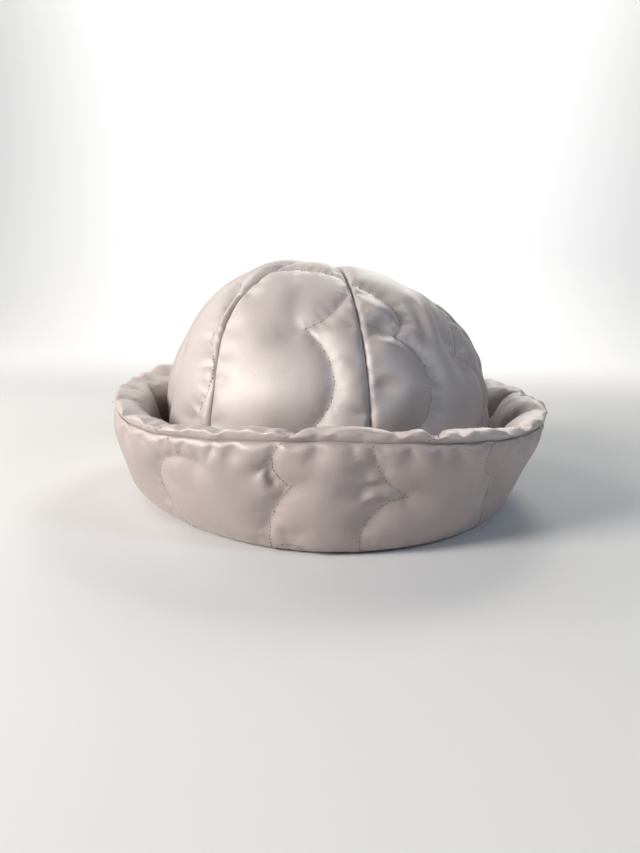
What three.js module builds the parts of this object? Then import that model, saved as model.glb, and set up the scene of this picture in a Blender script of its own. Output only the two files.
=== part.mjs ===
// A quilted satin sailor hat: a round crown of six padded panels inside a padded brim turned up all round.
// Units are millimetres. +Z is up, -Y is the front, and the origin is on the table under the hat.
// Angles go round from the front towards +X.

import * as THREE from "three";

// Driving dimensions
const OVAL = 1.05; // front to back over side to side
const WALL = 2.4; // a panel where it is stitched through
const CROWN_PUFF = 3.4; // how far the filling lifts the crown's face
const LINING_PUFF = 1.3; // and its inner face
const BRIM_PUFF = 2.4;
const PUFF_MEAN = 0.8; // the share of it that the brim's cross-section below already holds
const PUFF_REACH = 12; // distance from a stitch at which the filling is at its full height
const PUFF_ROUND = 0.7; // the power that rounds the filling off beside a stitch
const PADDED_FROM = 4; // heights between which the brim's filling starts
const PADDED_TO = 16;
const CREASE_BEND = 0.2;
const BRIM_HEIGHT = 60;
const LIFT_FROM = 8; // height from which the brim's sections rise or fall
const TOP_LEAN = 0.1; // the top of the crown falls towards +X by this slope
const LEAN_FROM = 0.4; // shares of the cloth's length between which that slope comes in
const LEAN_TO = 0.9;
const CROWN_SHIFT = -2.5; // the soft crown stands a little to one side, above its foot
const FLATNESS = 0.45; // of a panel between its seams: 0 is round, 1 is flat
const CHORD_MEAN = 0.912; // of a flat panel over a round one, which keeps the girth the same
const SHAPED = 35; // length up the cloth over which the round foot turns into shifted, flat panels
const SWAY_FROM = 0.28; // and between which a seam leaves its foot's angle
const SWAY_TO = 0.62;
const SEAM_GAP = 0.3; // between neighbouring pieces

// Mesh steps
const PANEL_COLUMNS = 12;
const PANEL_ROWS = 18;
const BRIM_COLUMNS = 88;
const CURVE_STEPS = 1200;
const COUNTED_AT = 0.4; // share of the cloth's length at which a panel's columns are shared out
const WITHIN = 0.9; // how near to a seam a stitched line's column may come, as a share of half the panel
const LEVEL_POWER = 4; // how soon beside a seam the rows turn level
const LEAST = 0.01; // half a panel's width at the top, where it comes to a point

// The middle of the crown's wall, from its lower edge to the top
const CROWN_PROFILE = [
  { radius: 91.6, height: 9 },
  { radius: 95.3, height: 26 },
  { radius: 97.4, height: 45 },
  { radius: 95, height: 64.3 },
  { radius: 88.9, height: 82.8 },
  { radius: 79.1, height: 100.2 },
  { radius: 65.7, height: 114.5 },
  { radius: 48.3, height: 125.7 },
  { radius: 29, height: 132.3 },
  { radius: 0, height: 134.6 },
];

// The six seams of the crown, each by its angle at the foot and near the top
const SEAMS = [
  { foot: -36.2, top: -43.5 },
  { foot: 13, top: 12 },
  { foot: 74, top: 74 },
  { foot: 136, top: 136 },
  { foot: 198, top: 198 },
  { foot: 262, top: 262 },
];

// The scalloped stitching on each crown panel. A line runs up through its points, each [across, up] in
// millimetres from the foot of the panel's middle line, as one arc from each point to the next.
// A bulge is how far an arc swells towards +across.
const CROWN_STITCHING = [
  { panel: 0, points: [[2.6, 0], [2, 38], [8.6, 96], [-4, 145]], bulges: [8, 18, 23] },
  { panel: 1, points: [[-28, 0], [-30, 41], [-26.6, 93.4], [-27, 133]], bulges: [9, 17.5, 11] },
  { panel: 1, points: [[24, 0], [26, 26], [17, 80], [18, 143]], bulges: [5, 21, 13] },
  { panel: 2, points: [[-26, 0], [-24, 50], [-22, 104], [-10, 142]], bulges: [13, 17, 8] },
  { panel: 2, points: [[20, 0], [20, 22], [18, 76], [12, 122]], bulges: [6, 15, 9] },
  { panel: 3, points: [[-4, 0], [-6, 36], [-6, 92], [-4, 141]], bulges: [10, 19, 13] },
  { panel: 4, points: [[-32, 0], [-30, 30], [-28, 84], [-20, 128]], bulges: [7, 17, 9] },
  { panel: 4, points: [[16, 0], [14, 44], [10, 98], [2, 143]], bulges: [12, 18, 11] },
  { panel: 5, points: [[-22, 0], [-22, 34], [-20, 88], [-10, 140]], bulges: [9, 18, 12] },
  { panel: 5, points: [[43, 0], [42.6, 50], [33.4, 85.6], [12, 124]], bulges: [4, 9, 8] },
];

// Creases where the cloth of a panel is pinched, as [across, up]
const CROWN_CREASES = [
  { panel: 0, from: [8.6, 96], to: [-5, 95] },
  { panel: 1, from: [-26.6, 93.4], to: [-44, 91.5] },
  { panel: 1, from: [-24, 98], to: [-34, 100] },
  { panel: 1, from: [17, 80], to: [17, 66] },
  { panel: 5, from: [33.4, 85.6], to: [44, 86] },
];

// The brim's cross-section. Outside, it runs from the inner edge, under the rolled fold that the hat
// stands on, and up to the seam below the lip.
const BRIM_OUTSIDE = [
  { radius: 88.6, height: 8.6 },
  { radius: 88.8, height: 3.6 },
  { radius: 93, height: 0.5 },
  { radius: 99, height: 0 },
  { radius: 106, height: 0 },
  { radius: 111.8, height: 1.8 },
  { radius: 116.2, height: 8 },
  { radius: 118.8, height: 16 },
  { radius: 121.3, height: 24 },
  { radius: 123.8, height: 32 },
  { radius: 126.3, height: 39.8 },
  { radius: 128.9, height: 48 },
  { radius: 131.2, height: 54.6 },
  { radius: 130.9, height: 57.2 },
];
// Between the two layers, from the inner edge up to the seam
const BRIM_MIDDLE = [
  { radius: 89.2, height: 8.6 },
  { radius: 100.6, height: 8.6 },
  { radius: 107.4, height: 11 },
  { radius: 111.5, height: 18.5 },
  { radius: 115.8, height: 31 },
  { radius: 120.6, height: 44 },
  { radius: 125.4, height: 53 },
  { radius: 131, height: 57.5 },
];
// The facing, from the seam over the lip and down into the trough beside the crown
const BRIM_INSIDE = [
  { radius: 131, height: 57.9 },
  { radius: 132.8, height: 59.2 },
  { radius: 131.6, height: 61.4 },
  { radius: 126.4, height: 62.4 },
  { radius: 120.4, height: 59.6 },
  { radius: 116, height: 52 },
  { radius: 112.8, height: 42.6 },
  { radius: 109.9, height: 34 },
  { radius: 107.3, height: 25.4 },
  { radius: 104.8, height: 17 },
  { radius: 102.6, height: 10 },
];

// How the brim differs from that cross-section round the hat, because it is soft and a little crooked
const BRIM_SECTIONS = [
  { angle: 0, fold: 14, rim: 2.5, lift: -1.5 },
  { angle: 45, fold: 5, rim: 5.5, lift: -4.5 },
  { angle: 90, fold: -10, rim: -1, lift: -2.5 },
  { angle: 135, fold: -2, rim: 0.5, lift: 1 },
  { angle: 180, fold: 5, rim: 2.6, lift: 2.5 },
  { angle: 225, fold: 3, rim: 1.5, lift: 5.5 },
  { angle: 270, fold: 5, rim: -1.2, lift: 1 },
  { angle: 315, fold: 6, rim: 5.5, lift: -6 },
];
const FOLD_HELD = 88; // radius inside which the crown holds the brim
const FOLD_FREE = 112; // radius outside which the brim follows its sections

// Scallops on the brim's outer layer, each line from the fold up to the seam. A point is
// [angle in degrees, length up the cloth from the inner edge] and a bulge is in millimetres.
const BRIM_STITCHING = [
  { points: [[-33, 31], [-31, 78], [-34.5, 89]], bulges: [-21, -2] },
  { points: [[-11.5, 27], [-7, 65], [-8.5, 89]], bulges: [-5, -7] },
  { points: [[8, 27], [17, 60], [8.4, 89]], bulges: [-10, -5] },
  { points: [[40, 27], [38, 67], [36, 89]], bulges: [2, -5] },
  { points: [[61, 27], [66, 73], [62, 89]], bulges: [-15, -3] },
  { points: [[86, 27], [91, 59], [88, 89]], bulges: [-7, -9] },
  { points: [[110, 27], [116, 68], [112, 89]], bulges: [-12, -4] },
  { points: [[135, 27], [140, 56], [137, 89]], bulges: [-6, -10] },
  { points: [[159, 27], [165, 73], [160, 89]], bulges: [-15, -3] },
  { points: [[184, 27], [189, 61], [186, 89]], bulges: [-8, -8] },
  { points: [[209, 27], [215, 70], [210, 89]], bulges: [-13, -4] },
  { points: [[234, 27], [239, 58], [236, 89]], bulges: [-7, -9] },
  { points: [[258, 27], [264, 73], [260, 89]], bulges: [-14, -3] },
  { points: [[287, 27], [291, 60], [288, 89]], bulges: [-8, -8] },
];
// Creases of the outer layer, as [angle in degrees, length up the cloth]
const BRIM_CREASES = [
  { from: [-31, 78], to: [-24, 70] },
  { from: [-28, 89], to: [-27, 78] },
  { from: [-20, 89], to: [-21, 80] },
  { from: [-7, 65], to: [-11, 68] },
  { from: [17, 60], to: [10, 63] },
  { from: [38, 67], to: [35, 60] },
];

// Scallops on the facing, each line from the seam over the lip and down
const FACING_STITCHING = [
  { points: [[-38, 0], [-34, 40], [-36, 66]], bulges: [5, 7] },
  { points: [[-9, 0], [-5, 31], [-9, 66]], bulges: [4, 9] },
  { points: [[19, 0], [22, 45], [19, 66]], bulges: [8, 3] },
  { points: [[44, 0], [47, 33], [44, 66]], bulges: [4, 8] },
  { points: [[68, 0], [72, 42], [69, 66]], bulges: [7, 4] },
  { points: [[93, 0], [96, 30], [92, 66]], bulges: [3, 9] },
  { points: [[118, 0], [121, 44], [118, 66]], bulges: [8, 3] },
  { points: [[142, 0], [146, 32], [142, 66]], bulges: [4, 9] },
  { points: [[167, 0], [170, 41], [167, 66]], bulges: [7, 4] },
  { points: [[192, 0], [195, 34], [191, 66]], bulges: [4, 8] },
  { points: [[216, 0], [220, 43], [217, 66]], bulges: [7, 4] },
  { points: [[241, 0], [244, 31], [240, 66]], bulges: [4, 9] },
  { points: [[265, 0], [269, 42], [266, 66]], bulges: [7, 4] },
  { points: [[292, 0], [296, 33], [293, 66]], bulges: [4, 8] },
];
const MM_PER_DEGREE = 2.2; // along the brim

const SATIN = { color: 0xc9b8b2, roughness: 0.38, metalness: 0 };
const LIP_SATIN = { color: 0xcfbfb9, roughness: 0.36, metalness: 0 };

const radians = THREE.MathUtils.degToRad;

// A smooth line through rows of a table, read by the length along it
function profileCurve(rows) {
  const curve = new THREE.SplineCurve(rows.map((row) => new THREE.Vector2(row.radius, row.height)));
  curve.arcLengthDivisions = CURVE_STEPS;
  return curve;
}

// An arc from one point up to the next, swelling towards +across by bulge
function arcBetween([x0, y0], [x1, y1], bulge) {
  const chord = Math.hypot(x1 - x0, y1 - y0);
  const radius = (chord * chord) / (8 * Math.abs(bulge)) + Math.abs(bulge) / 2;
  const side = Math.sign(bulge);
  const normal = [((y1 - y0) / chord) * side, (-(x1 - x0) / chord) * side];
  const inward = Math.abs(bulge) - radius;
  const centre = [(x0 + x1) / 2 + normal[0] * inward, (y0 + y1) / 2 + normal[1] * inward];
  const halfSweep = Math.acos(THREE.MathUtils.clamp(-inward / radius, -1, 1));
  return { centre, radius, side, normal, halfSweep, ends: [[x0, y0], [x1, y1]] };
}

function distanceToArc(arc, x, y) {
  const dx = x - arc.centre[0];
  const dy = y - arc.centre[1];
  const away = Math.max(Math.hypot(dx, dy), 1e-9);
  const cosine = (dx * arc.normal[0] + dy * arc.normal[1]) / away;
  if (cosine >= Math.cos(arc.halfSweep)) return Math.abs(away - arc.radius);
  return Math.min(...arc.ends.map((end) => Math.hypot(x - end[0], y - end[1])));
}

// A crease as an arc that hardly bends
function creaseArc({ from, to }) {
  return arcBetween(from, to, CREASE_BEND);
}

// A scalloped line as its arcs, with its across read at any height
function scallopedLine({ points, bulges }) {
  const arcs = bulges.map((bulge, i) => arcBetween(points[i], points[i + 1], bulge));
  const acrossAt = (up) => {
    const inside = THREE.MathUtils.clamp(up, points[0][1], points[points.length - 1][1]);
    const arc = arcs.find((candidate) => inside <= candidate.ends[1][1]) ?? arcs[arcs.length - 1];
    const rise = THREE.MathUtils.clamp((inside - arc.centre[1]) / arc.radius, -1, 1);
    return arc.centre[0] + arc.side * arc.radius * Math.sqrt(1 - rise * rise);
  };
  return { arcs, acrossAt, cusps: points.slice(1, -1).map((point) => point[1]) };
}

// How full the padding is at a distance from the nearest stitch: 0 on it, 1 well away
function pillow(distance) {
  const share = THREE.MathUtils.clamp(distance / PUFF_REACH, 0, 1);
  return Math.pow(1 - (1 - share) * (1 - share), PUFF_ROUND);
}

// Heights of the mesh rows, the nearest one moved to each cusp
function rowHeights(heights, cusps) {
  const rows = [...heights];
  for (const cusp of cusps) {
    const gaps = rows.map((height) => Math.abs(height - cusp));
    const nearest = gaps.indexOf(Math.min(...gaps.slice(1, -1)));
    rows[nearest] = cusp;
  }
  return rows;
}

// The two triangles of a four-sided cell, cut along its shorter diagonal
function cellTriangles(positions, [a, b, c, d]) {
  const apart = (p, q) =>
    Math.hypot(...[0, 1, 2].map((axis) => positions[3 * p + axis] - positions[3 * q + axis]));
  const along = apart(a, c) <= apart(b, d);
  const pair = along ? [[a, b, c], [a, c, d]] : [[a, b, d], [b, c, d]];
  return pair.filter(([p, q, r]) => p !== q && q !== r && r !== p);
}

// A closed solid from two grids of points, the outer and the inner face of a panel. The last row may
// meet in one point.
function panelGeometry(outer, inner) {
  const columns = outer[0].length;
  const rows = outer.length;
  const positions = [];
  const add = (grid) =>
    grid.map((row, j) => {
      const tip = j === rows - 1;
      return row.map((point, i) => {
        if (!tip || i === 0) positions.push(point.x, point.y, point.z);
        return positions.length / 3 - 1;
      });
    });
  const front = add(outer);
  const back = add(inner);
  const index = [];
  const quad = (...corners) => index.push(...cellTriangles(positions, corners).flat());
  for (let j = 0; j < rows - 1; j += 1) {
    for (let i = 0; i < columns - 1; i += 1) {
      quad(front[j][i], front[j][i + 1], front[j + 1][i + 1], front[j + 1][i]);
      quad(back[j][i + 1], back[j][i], back[j + 1][i], back[j + 1][i + 1]);
    }
    quad(back[j][0], front[j][0], front[j + 1][0], back[j + 1][0]);
    const last = columns - 1;
    quad(front[j][last], back[j][last], back[j + 1][last], front[j + 1][last]);
  }
  for (let i = 0; i < columns - 1; i += 1) {
    quad(front[0][i + 1], front[0][i], back[0][i], back[0][i + 1]);
  }
  return indexed(positions, index);
}

// A closed ring from one loop of points for each angle
function ringGeometry(loops) {
  const around = loops.length;
  const size = loops[0].length;
  const positions = loops.flat().flatMap((point) => [point.x, point.y, point.z]);
  const index = [];
  for (let i = 0; i < around; i += 1) {
    const next = (i + 1) % around;
    for (let j = 0; j < size; j += 1) {
      const k = (j + 1) % size;
      const corners = [i * size + j, next * size + j, next * size + k, i * size + k];
      index.push(...cellTriangles(positions, corners).flat());
    }
  }
  return indexed(positions, index);
}

function indexed(positions, index) {
  const geometry = new THREE.BufferGeometry();
  geometry.setAttribute("position", new THREE.Float32BufferAttribute(positions, 3));
  geometry.setIndex(index);
  geometry.computeVertexNormals();
  return geometry;
}

function piece(name, geometry, finish) {
  const mesh = new THREE.Mesh(geometry, new THREE.MeshStandardMaterial(finish));
  mesh.name = name;
  return mesh;
}

// The crown
const meridian = profileCurve(CROWN_PROFILE);
const meridianLength = meridian.getLength();

// The share of the crown's cloth that lies below a length up it
function riseAt(up) {
  return THREE.MathUtils.clamp(up / meridianLength, 0, 1);
}

// The angle of a panel's middle line and half its width in angle, at a length up the cloth
function panelSpan(number, up) {
  const sway = THREE.MathUtils.smoothstep(riseAt(up), SWAY_FROM, SWAY_TO);
  const [from, to] = [0, 1].map((step) => {
    const seam = SEAMS[(number + step) % SEAMS.length];
    return radians(THREE.MathUtils.lerp(seam.foot, seam.top, sway));
  });
  const end = number === SEAMS.length - 1 ? to + 2 * Math.PI : to;
  return { centre: (from + end) / 2, halfAngle: (end - from) / 2 };
}

// A point on a panel: share runs from -1 to 1 between its seams, up is a length up the cloth, and out is
// a distance from the middle of the wall
function crownPoint(number, share, up, out) {
  const { centre, halfAngle } = panelSpan(number, up);
  const rise = riseAt(up);
  const middle = meridian.getPointAt(rise);
  const along = meridian.getTangentAt(rise);
  const shaped = THREE.MathUtils.smoothstep(up, 0, SHAPED);
  const flat = Math.cos(halfAngle) / Math.cos(share * halfAngle) - CHORD_MEAN;
  const radius = middle.x * (1 + FLATNESS * flat * shaped) + along.y * out;
  const height = middle.y - along.x * out;
  const angle = centre + share * halfAngle;
  const x = radius * Math.sin(angle);
  const y = -radius * OVAL * Math.cos(angle);
  const lean = THREE.MathUtils.smoothstep(rise, LEAN_FROM, LEAN_TO);
  return new THREE.Vector3(x + CROWN_SHIFT * shaped, y, height - TOP_LEAN * x * lean);
}

// Columns of the mesh shared out between borders, so that every border has a column of its own
function columnsBetween(borders, count) {
  const width = borders[borders.length - 1] - borders[0];
  const columns = [];
  let left = count;
  for (let k = 0; k < borders.length - 1; k += 1) {
    const rest = borders.length - 2 - k;
    const wanted = Math.round((count * (borders[k + 1] - borders[k])) / width);
    const taken = rest === 0 ? left : THREE.MathUtils.clamp(wanted, 2, left - 2 * rest);
    left -= taken;
    for (let i = 0; i < taken; i += 1) columns.push({ border: k, share: i / taken });
  }
  return columns;
}

function crownPanel(number) {
  const lines = CROWN_STITCHING.filter((line) => line.panel === number).map(scallopedLine);
  const creases = CROWN_CREASES.filter((crease) => crease.panel === number).map(creaseArc);
  const arcs = [...lines.flatMap((line) => line.arcs), ...creases];
  const halfWidthAt = (up) =>
    Math.max(meridian.getPointAt(riseAt(up)).x, LEAST) * panelSpan(number, up).halfAngle;
  const bordersAt = (up) => {
    const halfWidth = halfWidthAt(up);
    const shares = lines.map((line) => line.acrossAt(up) / halfWidth);
    return [-1, ...shares.map((share) => THREE.MathUtils.clamp(share, -WITHIN, WITHIN)), 1];
  };
  const columns = [...columnsBetween(bordersAt(COUNTED_AT * meridianLength), PANEL_COLUMNS), null];
  const evenly = Array.from({ length: PANEL_ROWS + 1 }, (_, j) => (j / PANEL_ROWS) * meridianLength);
  const heights = rowHeights(evenly, lines.flatMap((line) => line.cusps));
  const outer = [];
  const inner = [];
  for (const [row, height] of heights.entries()) {
    const borders = bordersAt(height);
    const outerRow = [];
    const innerRow = [];
    for (const column of columns) {
      const [left, right] = column ? borders.slice(column.border) : [1, 1];
      const share = column ? THREE.MathUtils.lerp(left, right, column.share) : 1;
      const onBorder = !column || column.share === 0;
      // rows run level at the seams, where they meet those of the next panel
      const up = THREE.MathUtils.lerp(height, evenly[row], Math.pow(share, LEVEL_POWER));
      const halfWidth = halfWidthAt(up);
      const toStitch = Math.min(...arcs.map((arc) => distanceToArc(arc, share * halfWidth, up)));
      const toSeam = (1 - Math.abs(share)) * halfWidth;
      const full = onBorder ? 0 : pillow(Math.min(toStitch, toSeam)) * Math.sqrt(pillow(up));
      outerRow.push(crownPoint(number, share, up, WALL / 2 + CROWN_PUFF * full));
      innerRow.push(crownPoint(number, share, up, -WALL / 2 - LINING_PUFF * full));
    }
    outer.push(outerRow);
    inner.push(innerRow);
  }
  const mesh = piece(`crown_panel_${number + 1}`, panelGeometry(outer, inner), SATIN);
  const { centre, halfAngle } = panelSpan(number, 0);
  const apart = SEAM_GAP / 2 / Math.sin(halfAngle);
  mesh.position.set(Math.sin(centre) * apart, -Math.cos(centre) * apart, 0);
  return mesh;
}

// The brim's section changes at an angle, read smoothly from the table
function sectionAt(angle) {
  const count = BRIM_SECTIONS.length;
  const place = (((angle / (2 * Math.PI)) % 1) + 1) * count;
  const row = Math.floor(place);
  const t = place - row;
  const blend = (key) => {
    const [a, b, c, d] = [-1, 0, 1, 2].map((step) => BRIM_SECTIONS[(row + step) % count][key]);
    const cubic = -a + 3 * b - 3 * c + d;
    return 0.5 * (2 * b + (c - a) * t + (2 * a - 5 * b + 4 * c - d) * t * t + cubic * t * t * t);
  };
  return { fold: blend("fold"), rim: blend("rim"), lift: blend("lift") };
}

function brimPoint(angle, radius, height) {
  const change = sectionAt(angle);
  const rise = THREE.MathUtils.clamp(height / BRIM_HEIGHT, 0, 1);
  const free = THREE.MathUtils.smoothstep(radius, FOLD_HELD, FOLD_FREE);
  const r = radius + free * (change.fold * (1 - rise) + change.rim * rise);
  const lifted = THREE.MathUtils.smoothstep(height, LIFT_FROM, BRIM_HEIGHT);
  const z = height + change.lift * lifted * free;
  return new THREE.Vector3(r * Math.sin(angle), -r * OVAL * Math.cos(angle), z);
}

// The rows of a table with their length along the cloth, the direction out of it, and how much of the
// padding shows there
function outline(rows) {
  let length = 0;
  return rows.map((row, j) => {
    const before = rows[Math.max(j - 1, 0)];
    const after = rows[Math.min(j + 1, rows.length - 1)];
    length += Math.hypot(row.radius - before.radius, row.height - before.height);
    const run = [after.radius - before.radius, after.height - before.height];
    const size = Math.hypot(...run);
    const end = before === row || after === row;
    const padded = end ? 0 : THREE.MathUtils.smoothstep(row.height, PADDED_FROM, PADDED_TO);
    return { ...row, length, padded, out: [run[1] / size, -run[0] / size] };
  });
}

// One layer of the brim: its visible side, padded between the stitches, and its plain hidden side
function brimLayer(name, visible, hidden, stitching, creases, seamLength, finish) {
  const inMillimetres = ([angle, up]) => [angle * MM_PER_DEGREE, up];
  const lines = stitching.map(({ points, bulges }) =>
    scallopedLine({ points: points.map(inMillimetres), bulges }),
  );
  const pinched = creases.map(({ from, to }) =>
    creaseArc({ from: inMillimetres(from), to: inMillimetres(to) }),
  );
  const round = 360 * MM_PER_DEGREE;
  const arcs = [...lines.flatMap((line) => line.arcs), ...pinched];
  const bordersAt = (up) => {
    const inside = lines.map((line) => line.acrossAt(up));
    return [...inside, inside[0] + round];
  };
  const acrossAt = (column, up) => {
    const [left, right] = bordersAt(up).slice(column.border);
    return THREE.MathUtils.lerp(left, right, column.share);
  };
  const loops = columnsBetween(bordersAt(seamLength), BRIM_COLUMNS).map((column) => {
    const loop = visible.map((row) => {
      const across = acrossAt(column, row.length);
      const distances = [0, -round].flatMap((shift) =>
        arcs.map((arc) => distanceToArc(arc, across + shift, row.length)),
      );
      const toStitch = column.share === 0 ? 0 : Math.min(...distances);
      const toSeam = Math.abs(seamLength - row.length);
      const loft = BRIM_PUFF * (pillow(Math.min(toStitch, toSeam)) - PUFF_MEAN) * row.padded;
      const angle = radians(across / MM_PER_DEGREE);
      return brimPoint(angle, row.radius + row.out[0] * loft, row.height + row.out[1] * loft);
    });
    const plain = radians(acrossAt(column, 0) / MM_PER_DEGREE);
    const back = hidden.map((row) => brimPoint(plain, row.radius, row.height));
    return [...loop, ...back];
  });
  return piece(name, ringGeometry(loops), finish);
}

function outerLayer() {
  const visible = outline(BRIM_OUTSIDE);
  const seamLength = visible[visible.length - 1].length;
  const hidden = BRIM_MIDDLE.slice(1, -1).reverse();
  return brimLayer("brim_outer", visible, hidden, BRIM_STITCHING, BRIM_CREASES, seamLength, SATIN);
}

// The hidden side of the facing keeps a small gap from the outer layer
function facingLayer() {
  const visible = outline(BRIM_INSIDE);
  const hidden = BRIM_MIDDLE.slice(2, -1).map((row, j, rows) => {
    const after = rows[Math.min(j + 1, rows.length - 1)];
    const before = rows[Math.max(j - 1, 0)];
    const run = [after.radius - before.radius, after.height - before.height];
    const size = Math.hypot(...run);
    return {
      radius: row.radius - (run[1] / size) * SEAM_GAP,
      height: row.height + (run[0] / size) * SEAM_GAP,
    };
  });
  return brimLayer("brim_facing", visible, hidden, FACING_STITCHING, [], 0, LIP_SATIN);
}

const hat = new THREE.Group();
for (let number = 0; number < SEAMS.length; number += 1) hat.add(crownPanel(number));
hat.add(outerLayer(), facingLayer());

export default hat;
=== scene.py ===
# %% [markdown]
# # A quilted satin sailor hat
# The hat is a round crown of six padded panels, and a padded brim that is turned up all round it.
# Satin is sewn to soft wadding along scalloped lines, so the cloth swells between them and puckers
# beside them. This lesson makes each skin of cloth as a fine grid, lets Blender's cloth blow it up from
# its stitches, and then closes it, sews it and gives it its sheen.

# %% Load the frame
import math

import bpy
import numpy as np
from mathutils import Matrix, Vector


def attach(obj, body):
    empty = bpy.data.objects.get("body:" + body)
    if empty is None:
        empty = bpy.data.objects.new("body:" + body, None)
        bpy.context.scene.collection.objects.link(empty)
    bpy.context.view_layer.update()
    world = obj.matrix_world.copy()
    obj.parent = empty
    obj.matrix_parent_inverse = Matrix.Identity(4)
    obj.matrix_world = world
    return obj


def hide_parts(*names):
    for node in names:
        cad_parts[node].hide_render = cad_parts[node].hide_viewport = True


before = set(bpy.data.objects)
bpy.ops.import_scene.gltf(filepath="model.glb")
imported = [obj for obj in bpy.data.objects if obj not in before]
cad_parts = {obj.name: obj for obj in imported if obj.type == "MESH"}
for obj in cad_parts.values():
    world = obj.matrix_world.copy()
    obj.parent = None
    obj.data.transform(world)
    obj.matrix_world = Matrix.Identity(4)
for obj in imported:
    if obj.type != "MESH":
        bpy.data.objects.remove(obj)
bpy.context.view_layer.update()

scene = bpy.context.scene

# %% [markdown]
# ## Sizes
# A hat is cut to a few numbers: the curve of a panel from its edge to the top, the section of the brim,
# and the lines that it is quilted along. They are kept here in millimetres, in short tables, and
# everything below is worked out from them. Angles go round from the front towards +X.

# %% Sizes that the hat is cut to
MM = 0.001
OVAL = 1.05  # front to back over side to side
WALL = 2.4  # a panel where it is stitched through
CROWN_PUFF = 3.2
LINING_PUFF = 1.3
BRIM_PUFF = 2.2
PUFF_MEAN = 0.8
PUFF_REACH = 12.0
BRIM_HEIGHT = 60.0
TOP_LEAN = 0.1
SEAM_GAP = 0.1
FLATNESS = 0.45  # of a panel between its seams: 0 is round, 1 is flat
CHORD_MEAN = 0.912  # of a flat panel over a round one, which keeps the girth the same
CROWN_SHIFT = -2.5  # the soft crown stands a little to one side, above its foot
SHAPED = 35.0  # length over which the round foot turns into shifted, flat panels
CLOTH_STEP = 2.0  # mesh cells of the cloth
MM_PER_DEGREE = 2.2  # round the brim, so that its lines can be drawn in millimetres
print("brim %.0f mm high, panels up to %.1f mm thick" % (BRIM_HEIGHT, WALL + CROWN_PUFF + LINING_PUFF))

# %% [markdown]
# ## The crown's pattern
# One curve from the foot to the top shapes all six panels, and the seams share it out between them.
# Scalloped lines hold the padding down. Creases and loose folds are what the cloth does beside them, so
# they are listed with the lines, as (across, up) on the panel that they lie on.

# %% The crown's curve, seams, quilting and folds
CROWN_PROFILE = np.array([
    (91.6, 9), (95.3, 26), (97.4, 45), (95, 64.3), (88.9, 82.8),
    (79.1, 100.2), (65.7, 114.5), (48.3, 125.7), (29, 132.3), (0, 134.6)], float)
# the six seams, each by its angle at the foot and near the top
SEAMS = np.array([(-36.2, -43.5), (13, 12), (74, 74), (136, 136), (198, 198), (262, 262)], float)

# panel, points of the line as (across, up), bulge of each arc towards +across
CROWN_STITCHING = [
    (0, [(2.6, 0), (2, 38), (8.6, 96), (18.7, 139.7), (-21, 139)], [8, 18, 12, 6]),
    (1, [(-28, 0), (-30, 41), (-26.6, 93.4), (-15.5, 107), (-27, 133)], [9, 17.5, 3, 4]),
    (1, [(24, 0), (26, 26), (17, 80), (18, 143)], [5, 21, 13]),
    (2, [(-26, 0), (-24, 50), (-22, 104), (-10, 142)], [13, 17, 8]),
    (2, [(20, 0), (20, 22), (18, 76), (12, 122)], [6, 15, 9]),
    (3, [(-4, 0), (-6, 36), (-6, 92), (-4, 141)], [10, 19, 13]),
    (4, [(-32, 0), (-30, 30), (-28, 84), (-20, 128)], [7, 17, 9]),
    (4, [(16, 0), (14, 44), (10, 98), (2, 143)], [12, 18, 11]),
    (5, [(-22, 0), (-22, 34), (-20, 88), (-10, 140)], [9, 18, 12]),
    (5, [(43, 0), (42.6, 50), (33.4, 85.6), (12, 124)], [4, 9, 8]),
]
# short creases where the cloth is pinched: panel, from, to
CROWN_TUCKS = [
    (0, (8.6, 96), (3, 94.5)),
    (1, (-26.6, 93.4), (-35, 95)), (1, (-35, 95), (-44, 91.5)), (1, (-48, 66), (-43, 66.5)),
    (1, (-49, 57), (-45, 57)), (1, (17, 80), (13.5, 80)), (1, (17.8, 74), (22, 76)),
    (1, (17.5, 86), (13, 87.5)), (1, (20, 82), (26, 84)),
    (5, (33.4, 85.6), (42, 86.5)), (5, (42.6, 50), (47, 51)), (5, (42, 44), (36, 42)),
    (5, (42.3, 39), (37, 38)), (5, (42.5, 33), (38, 33)), (5, (49, 62), (45, 61)),
]
# soft folds that no thread holds: panel, from, to, height (below nothing is a valley), width
CROWN_FOLDS = [
    (0, (3, 96), (-6, 90), -1.2, 6), (0, (4, 99), (3.5, 118), -0.9, 5), (0, (-6, 104), (-7, 128), 0.6, 5),
    (0, (26, 74), (26, 52), -0.8, 5), (0, (-20, 60), (10, 62), 1.0, 12),
    (1, (-24, 98.5), (-36, 100), -5.0, 4), (1, (-21, 109), (-37, 110), 2.2, 5),
    (1, (-42, 87), (-27, 88), 2.2, 4),
    (1, (-1, 112), (-6, 90), -2.3, 4.5), (1, (5, 120), (4, 98), 1.4, 5),
    (1, (20, 116), (11, 92), -2.2, 4), (1, (-28, 138), (-17, 118), -1.2, 3.5),
    (1, (-47, 66), (-38, 66), -1.4, 4), (1, (22, 80), (31, 80), 2.2, 3.5), (1, (19, 75), (28, 73), -2.0, 3),
    (1, (20, 87), (31, 88), -2.0, 3.5), (1, (32, 60), (36, 84), 1.2, 5), (1, (28, 104), (26, 122), 1.2, 6),
    (1, (-34, 70), (-20, 62), 0.8, 9),
    (5, (38, 94), (28, 112), 1.3, 6), (5, (14, 60), (18, 100), 0.6, 10),
    (5, (44, 80), (47, 62), 1.0, 3), (2, (-40, 70), (-30, 96), 0.9, 5),
    (3, (-30, 60), (-24, 100), -0.9, 6), (3, (24, 50), (18, 92), 0.8, 6), (4, (-6, 70), (-8, 104), -0.9, 6),
]
print("crown: %d panels, %d stitched lines, %d creases, %d loose folds"
      % (len(SEAMS), len(CROWN_STITCHING), len(CROWN_TUCKS), len(CROWN_FOLDS)))

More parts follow.
